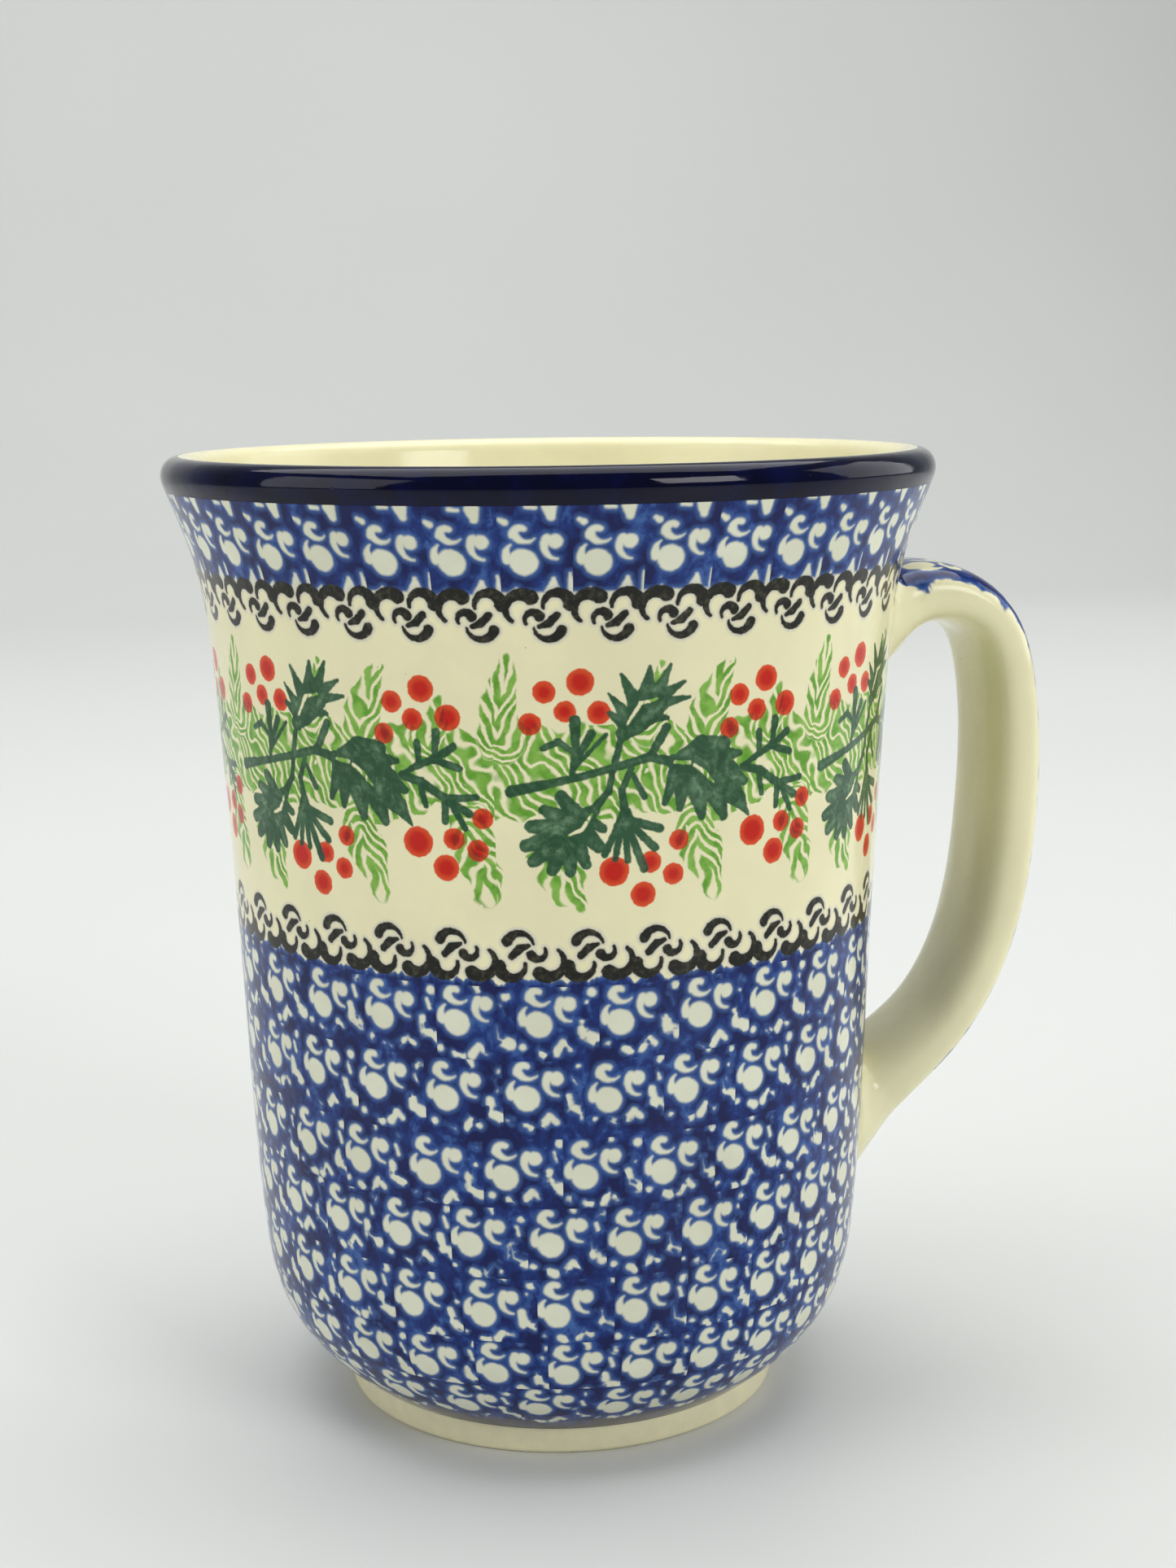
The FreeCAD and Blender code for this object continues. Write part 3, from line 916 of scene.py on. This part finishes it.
def garland_material():
    material, g = new_material("holly_garland")
    where = object_millimetres(g)
    turns, radius = around_the_cup(g, where)
    run = g.attribute("wall_run")
    phase = -GARLAND_AZIMUTH / GARLAND_PITCH - GARLAND_LEFT / GARLAND_WIDTH
    place = g.math("FRACT", g.math("MULTIPLY_ADD", turns, 360.0 / GARLAND_PITCH, phase))
    aside = g.math("MULTIPLY_ADD", place, GARLAND_WIDTH, GARLAND_LEFT)
    p = g.join(aside, g.math("SUBTRACT", run, GARLAND_RUN))
    p = ragged(g, p, where, 1.9, 0.14)
    cell = (GARLAND_LEFT, GARLAND_WIDTH)
    colour = cream_ground(g, where)

    leafy = g.cover(light_green(g, p), 0.12)
    thin = g.ramp(g.noise(where, 0.55, 3.0, 0.6), 0.35, 0.65)
    colour = g.mix(leafy, colour, g.mix(thin, SPRIG_GREEN, SPRIG_PALE))

    berries = g.drawn(p, wrapped([("blob", (x, y), size) for x, y, size in BERRIES], *cell))
    red = g.mix(g.ramp(berries, -0.1, -0.9), BERRY_EDGE, BERRY_RED)
    colour = printed(g, colour, g.cover(berries, 0.09), red, 0.55)

    holly = g.drawn(p, wrapped(as_lines(HOLLY_BRANCH), *cell), 0.22)
    holly = g.without(holly, g.drawn(p, wrapped(as_lines(LEAF_VEINS), *cell)))
    wash = g.ramp(g.noise(where, 0.4, 4.0, 0.7), 0.42, 0.68)
    wash = g.math("MULTIPLY", wash, g.ramp(holly, -0.9, -0.15, 1.0, 0.35))
    colour = printed(g, colour, g.cover(holly, 0.10), g.mix(wash, LEAF_DARK, LEAF_WATERY), 0.45)

    up = g.math("SUBTRACT", LOWER_SCROLL_RUN, run)
    scroll = scroll_border(
        g, where, turns, radius, up, -LOWER_SCROLLS, LOWER_SCROLL_AZIMUTH, LOWER_SCROLL_RADIUS
    )
    colour = haloed(g, colour, scroll)
    edge = g.noise(g.join(g.math("MULTIPLY", turns, LOWER_BLUE_ROUND)), 0.55, 2.0)
    edge = g.math("MULTIPLY_ADD", edge, LOWER_BLUE_WAVE, LOWER_BLUE_TOP - LOWER_BLUE_DROP)
    above = g.math("SUBTRACT", run, edge)
    blue = cobalt_wash(g, where, g.negative(above))
    colour = g.mix(g.cover(above, 0.16), colour, blue)
    glazed(g, inked_black(g, colour, where, scroll), where)
    return material


def rim_material():
    material, g = new_material("cobalt_rim_glaze")
    where = object_millimetres(g)
    tone = g.ramp(g.noise(where, 0.2, 3.0, 0.6), 0.4, 0.7)
    glazed(g, g.mix(tone, RIM_NAVY, RIM_THIN), where, ripple=0.5, gloss=0.22, rough=0.04)
    return material


def cream_material():
    material, g = new_material("cream_glaze")
    where = object_millimetres(g)
    glazed(g, cream_ground(g, where), where)
    return material


HANDLE_ROW = 9.2           # millimetres between rows of commas along the strap
HANDLE_COLUMN = 7.6        # and between columns across it
HANDLE_SHIFT = (0.9, 1.2)  # from a large comma's middle to the middle of its cell
HANDLE_BLUE_HALF = (8.6, 7.2)    # half the width of the blue strip, on the crown and below
HANDLE_CROWN = (18.0, 34.0)      # where the strip narrows, along the strap
HANDLE_BLUE_END = 82.0     # where it ends, along the strap


def handle_material():
    """Plain cream glaze, with a ragged blue strip of commas along the outward face."""
    material, g = new_material("handle_glaze")
    where = object_millimetres(g)
    run, side, lift = [g.attribute("strap_" + name) for name in ("run", "side", "lift")]
    row = g.math("DIVIDE", run, HANDLE_ROW)
    left = g.math("DIVIDE", side, HANDLE_COLUMN)
    chance = g.random(g.math("FLOOR", row), g.math("FLOOR", left), 4.0)
    x = g.math("MULTIPLY_ADD", g.math("FRACT", left), HANDLE_COLUMN, -HANDLE_COLUMN / 2.0)
    y = g.math("MULTIPLY_ADD", g.math("FRACT", row), HANDLE_ROW, -HANDLE_ROW / 2.0)
    p = g.join(g.math("ADD", x, HANDLE_SHIFT[0]), g.math("ADD", y, HANDLE_SHIFT[1]))
    p = wandered(g, ragged(g, p, where), chance, 0.5)
    hollow = g.drawn(p, COMMA_TRIPLET)
    uneven = g.math("MULTIPLY", g.math("SUBTRACT", g.noise(where, 0.4, 2.0), 0.5), 2.0)
    half = g.ramp(run, *HANDLE_CROWN, *HANDLE_BLUE_HALF)
    border = g.math("SUBTRACT", g.math("ABSOLUTE", side), half)
    border = g.math("MAXIMUM", border, g.math("SUBTRACT", run, HANDLE_BLUE_END))
    border = g.math("ADD", g.math("MAXIMUM", border, g.math("MULTIPLY", lift, -9.0)), uneven)
    hollow = g.math("MINIMUM", hollow, g.negative(border))
    colour = g.mix(g.cover(hollow, 0.15), cobalt_wash(g, where, hollow), cream_ground(g, where))
    glazed(g, colour, where)
    return material


def bare_clay_material():
    material, g = new_material("wiped_stoneware")
    where = object_millimetres(g)
    tone = g.noise(where, 0.5, 4.0, 0.65)
    shader = g.node("ShaderNodeBsdfPrincipled")
    g.plug(shader.inputs["Base Color"], g.mix(g.ramp(tone, 0.35, 0.7), BARE_CLAY, CREAM_WARM))
    g.plug(shader.inputs["Roughness"], g.ramp(tone, 0.3, 0.7, 0.32, 0.5))
    finish_surface(g, shader, g.math("MULTIPLY", g.noise(where, 2.5, 3.0), 0.08), 0.4)
    return material


# ---- pieces ------------------------------------------------------------------------------------
def finish_piece(piece, material, slot, *nodes):
    piece.data.materials.append(material)
    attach(piece, "root")
    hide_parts(*nodes)
    return piece


def shell_section(outer, thickness):
    """A closed section: the outer line and the same line moved inwards."""
    inner = outer + normals_of(outer) * thickness
    return np.vstack([outer, inner[::-1]])


def wall_piece(name, low, high, material):
    outer = wall_points(low, high, spacing=1.6)
    piece = turned_piece(name, shell_section(outer, GLAZE_THICKNESS))
    add_run(piece)
    return finish_piece(piece, material, "decorated_glaze", "outer_glaze")


def sample_at(height):
    """The sample nearest a height, on the outside of the full outline."""
    return int(np.argmin(np.abs(OUTLINE[:CREST, 1] - height)))


def rim_piece(material):
    part = outline_between(sample_at(RIM_BAND_BOTTOM), CREST, spacing=0.5, tight=4.0)
    piece = turned_piece("rim_band", shell_section(part, GLAZE_THICKNESS))
    return finish_piece(piece, material, "cobalt_rim", "rim_glaze_band")


def lining_piece(material):
    part = outline_between(CREST, len(OUTLINE) - 1, spacing=2.0, tight=6.0)
    part[-1, 0] = 0.0
    below = part + normals_of(part) * GLAZE_THICKNESS
    below[-1, 0] = 0.0
    piece = turned_piece("inner_lining", np.vstack([part[::-1], below]))
    return finish_piece(piece, material, "cream_glaze", "inner_glaze")


FOOT_EDGE_RADIUS = 0.7
RECESS_CORNER_RADIUS = 1.0
RECESS_SLOPE = 1.6         # the hollow under the foot starts to level off this far inside the ring
RECESS_FLAT = 3.0          # and is flat from here
FOOT_LEDGE = (0.05, 0.3)   # the small step where the glaze starts: how far in and how far down
CORNER_POINTS = 6


def rounded_corner(centre, radius, first, last):
    turns = np.radians(np.linspace(first, last, CORNER_POINTS))
    return [(centre[0] + radius * math.cos(t), centre[1] + radius * math.sin(t)) for t in turns]


def clay_piece(material):
    """Wall, floor and foot ring under the glaze, with a softly rounded foot."""
    part = outline_between(0, len(OUTLINE) - 1, spacing=2.0, tight=6.0)
    clay = part + normals_of(part) * GLAZE_THICKNESS
    clay[-1, 0] = 0.0
    edge = FOOT_EDGE_RADIUS
    ring_inside = FOOT_RADIUS - FOOT_RING_WIDTH
    foot = [(0.0, FOOT_RECESS), (ring_inside - RECESS_FLAT, FOOT_RECESS)]
    corner = (ring_inside - RECESS_SLOPE, FOOT_RECESS - RECESS_CORNER_RADIUS)
    foot += rounded_corner(corner, RECESS_CORNER_RADIUS, 90.0, 20.0)
    foot += rounded_corner((ring_inside + edge, edge), edge, 200.0, 270.0)
    foot += rounded_corner((FOOT_RADIUS - edge, edge), edge, 270.0, 360.0)
    inwards, down = FOOT_LEDGE
    foot += [(FOOT_RADIUS, FOOT_HEIGHT - down), (FOOT_RADIUS - inwards, FOOT_HEIGHT)]
    piece = turned_piece("clay_body", np.vstack([foot, clay]))
    return finish_piece(piece, material, "bare_stoneware", "cup_body")


JOINT_POINTS = 8           # loops in one joint
STRAP_LOOPS = 72
LOOP_POINTS = 64


def strap_frame(path, fraction, lean):
    """The strap's middle, the direction its thickness is laid in, and its true thickness."""
    step = 0.002
    before, centre, after = path(np.array([fraction - step, fraction, fraction + step]))
    along = (after - before) / np.linalg.norm(after - before)
    outward = np.array([-along[1], along[0]])
    place = int(np.argmin(np.abs(WALL[:, 1] - centre[1])))
    wall = WALL[place + 1] - WALL[place]
    wall *= math.copysign(1.0, wall @ outward) / np.linalg.norm(wall)
    lifting = outward * (1.0 - lean) + wall * lean
    lifting /= np.linalg.norm(lifting)
    return centre, lifting, lifting @ outward


def eased(values, fraction):
    """A value read from an evenly spaced list, eased between its entries."""
    place = min(max(fraction, 0.0), 1.0) * (len(values) - 1)
    index = min(int(place), len(values) - 2)
    part = place - index
    ease = part * part * (3.0 - 2.0 * part)
    return values[index] * (1.0 - ease) + values[index + 1] * ease


def strap_loop(path, fraction, growth, lean):
    """One loop round the strap: positions, and each one's side and lift on the strap."""
    centre, lifting, slant = strap_frame(path, fraction, lean)
    turns = np.linspace(0.0, 2.0 * math.pi, LOOP_POINTS, endpoint=False)
    power = 2.0 / SECTION_SQUARENESS
    across = np.sign(np.cos(turns)) * np.abs(np.cos(turns)) ** power
    lift = np.sign(np.sin(turns)) * np.abs(np.sin(turns)) ** power
    side = across * (eased(HANDLE_WIDTH, fraction) / 2.0 + growth)
    height = lift * (eased(HANDLE_THICKNESS, fraction) / 2.0 / slant + growth)
    x = centre[0] + lifting[0] * height
    z = centre[1] + lifting[1] * height
    wall_radius = np.interp(z, WALL[:, 1], WALL[:, 0])
    x -= lean * (wall_radius - np.sqrt(wall_radius ** 2 - side ** 2))
    return np.stack([x, side, z], axis=1), side, lift


def strap_stations():
    """Every loop of the handle, as place along it, growth at its joint, and lean."""
    top, bottom = HANDLE_MEETS_WALL
    stations = [(top - JOINT_ROOT, JOINT_GROWTH[0], 1.0)]
    for part in np.linspace(0.0, 1.0, JOINT_POINTS):
        stations.append((top + JOINT_REACH * part, JOINT_GROWTH[0] * (1.0 - part) ** 2, 1.0 - part))
    middle = np.linspace(top + JOINT_REACH, bottom - JOINT_REACH, STRAP_LOOPS)[1:-1]
    stations += [(place, 0.0, 0.0) for place in middle]
    for part in np.linspace(1.0, 0.0, JOINT_POINTS):
        growth = JOINT_GROWTH[1] * (1.0 - part) ** 2
        stations.append((bottom - JOINT_REACH * part, growth, 1.0 - part))
    stations.append((bottom + JOINT_ROOT, JOINT_GROWTH[1], 1.0))
    return stations


def handle_piece(material):
    path = cubic_spline(HANDLE_LINE)
    vertices, runs, sides, lifts = [], [], [], []
    for fraction, growth, lean in strap_stations():
        points, side, lift = strap_loop(path, fraction, growth, lean)
        vertices += [tuple(point * MM) for point in points]
        runs += [fraction * HANDLE_LENGTH] * LOOP_POINTS
        sides += list(side)
        lifts += list(lift)
    faces = [list(range(LOOP_POINTS))]
    loops = len(vertices) // LOOP_POINTS
    for loop in range(loops - 1):
        for i in range(LOOP_POINTS):
            j = (i + 1) % LOOP_POINTS
            low, high = loop * LOOP_POINTS, (loop + 1) * LOOP_POINTS
            faces.append([low + i, high + i, high + j, low + j])
    last = (loops - 1) * LOOP_POINTS
    faces.append(list(range(last + LOOP_POINTS - 1, last - 1, -1)))
    piece = new_mesh_object("handle_strap", vertices, faces)
    store(piece, "strap_run", runs)
    store(piece, "strap_side", sides)
    store(piece, "strap_lift", lifts)
    nodes = ("handle", "upper_slip_joint", "lower_slip_joint")
    return finish_piece(piece, material, "handle_glaze", *nodes)


def main():
    lower = lower_field_material()
    wall_piece("lower_field_bottom", FOOT_HEIGHT, FIELD_SPLIT, lower)
    wall_piece("lower_field_top", FIELD_SPLIT, FIELD_TOP, lower)
    wall_piece("holly_band", FIELD_TOP, GARLAND_TOP, garland_material())
    wall_piece("upper_field", GARLAND_TOP, RIM_BAND_BOTTOM, upper_field_material())
    rim_piece(rim_material())
    lining_piece(cream_material())
    clay_piece(bare_clay_material())
    handle_piece(handle_material())


main()


# ---- stage, light and camera -------------------------------------------------------------------
FLOOR_FRONT = -1.2
FLOOR_BACK = 0.9
BACKDROP_BEND = 0.5
BACKDROP_TOP = 2.4
FLOOR_HALF_WIDTH = 2.4
FLOOR_GREYS = ((0.66, 0.67, 0.65), (0.71, 0.72, 0.70))


def floor():
    """A pale floor that curves up behind the mug into a backdrop."""
    material, g = new_material("pale_floor")
    shader = g.node("ShaderNodeBsdfPrincipled")
    tone = g.noise(object_millimetres(g), 0.004, 2.0)
    g.plug(shader.inputs["Base Color"], g.mix(tone, *FLOOR_GREYS))
    shader.inputs["Roughness"].default_value = 0.45
    g.plug(g.node("ShaderNodeOutputMaterial").inputs["Surface"], shader.outputs[0])
    section = [(FLOOR_FRONT, 0.0)]
    for turn in np.radians(np.linspace(-90.0, 0.0, 24)):
        y = FLOOR_BACK + BACKDROP_BEND * math.cos(turn)
        section.append((y, BACKDROP_BEND + BACKDROP_BEND * math.sin(turn)))
    section.append((FLOOR_BACK + BACKDROP_BEND, BACKDROP_TOP))
    vertices = []
    for y, z in section:
        vertices += [(-FLOOR_HALF_WIDTH, y, z), (FLOOR_HALF_WIDTH, y, z)]
    faces = [[2 * i, 2 * i + 1, 2 * i + 3, 2 * i + 2] for i in range(len(section) - 1)]
    piece = new_mesh_object("floor", vertices, faces)
    piece.data.materials.append(material)


CAMERA_DISTANCE = 0.2767   # metres from the mug's axis to the lens, level with the table
CAMERA_HEIGHT = 0.1253
CAMERA_AZIMUTH = -11.525   # degrees round from -Y, away from the handle
CAMERA_YAW = 0.87
CAMERA_PITCH = -10.40
CAMERA_ROLL = -0.70
LENS = 52.94
SENSOR_WIDTH = 36.0        # millimetres, like the lens

LIT_POINT = (0.0, 0.0, 0.06)
# Each light as its name, place in metres, size in metres and power in watts.
LIGHTS = [
    ("window", (0.62, -0.95, 0.62), (0.5, 0.5), 6.0),
    ("ceiling", (0.0, 0.25, 1.2), (1.7, 1.3), 17.0),
    ("left", (-1.1, -0.2, 0.5), (0.9, 0.9), 5.0),
    ("right", (1.2, 0.2, 0.5), (0.9, 0.9), 4.0),
]
WORLD_COLOUR = (0.92, 0.95, 0.95, 1.0)
WORLD_STRENGTH = 0.22


def camera():
    data = bpy.data.cameras.new("camera")
    data.sensor_width = SENSOR_WIDTH
    data.lens = LENS
    data.clip_start = 0.01
    made = bpy.data.objects.new("camera", data)
    bpy.context.scene.collection.objects.link(made)
    turn = Matrix.Rotation(math.radians(CAMERA_AZIMUTH), 4, "Z")
    place = Matrix.Translation(Vector((0.0, -CAMERA_DISTANCE, CAMERA_HEIGHT)))
    level = Matrix.Rotation(math.radians(90.0), 4, "X")
    yaw = Matrix.Rotation(math.radians(-CAMERA_YAW), 4, "Z")
    pitch = Matrix.Rotation(math.radians(CAMERA_PITCH), 4, "X")
    roll = Matrix.Rotation(math.radians(CAMERA_ROLL), 4, "Z")
    made.matrix_world = turn @ place @ yaw @ level @ pitch @ roll
    bpy.context.scene.camera = made


def area_light(name, place, size, power):
    """A rectangle of white light that faces the middle of the mug."""
    data = bpy.data.lights.new(name, "AREA")
    data.shape = "RECTANGLE"
    data.size, data.size_y = size
    data.energy = power
    made = bpy.data.objects.new(name, data)
    made.location = place
    aim = Vector(LIT_POINT) - Vector(place)
    made.rotation_euler = aim.to_track_quat("-Z", "Y").to_euler()
    bpy.context.scene.collection.objects.link(made)


def lights():
    for name, place, size, power in LIGHTS:
        area_light(name, place, size, power)
    world = bpy.data.worlds.new("studio")
    world.use_nodes = True
    background = world.node_tree.nodes["Background"]
    background.inputs["Color"].default_value = WORLD_COLOUR
    background.inputs["Strength"].default_value = WORLD_STRENGTH
    bpy.context.scene.world = world


floor()
camera()
lights()
bpy.context.scene.view_settings.view_transform = "Standard"
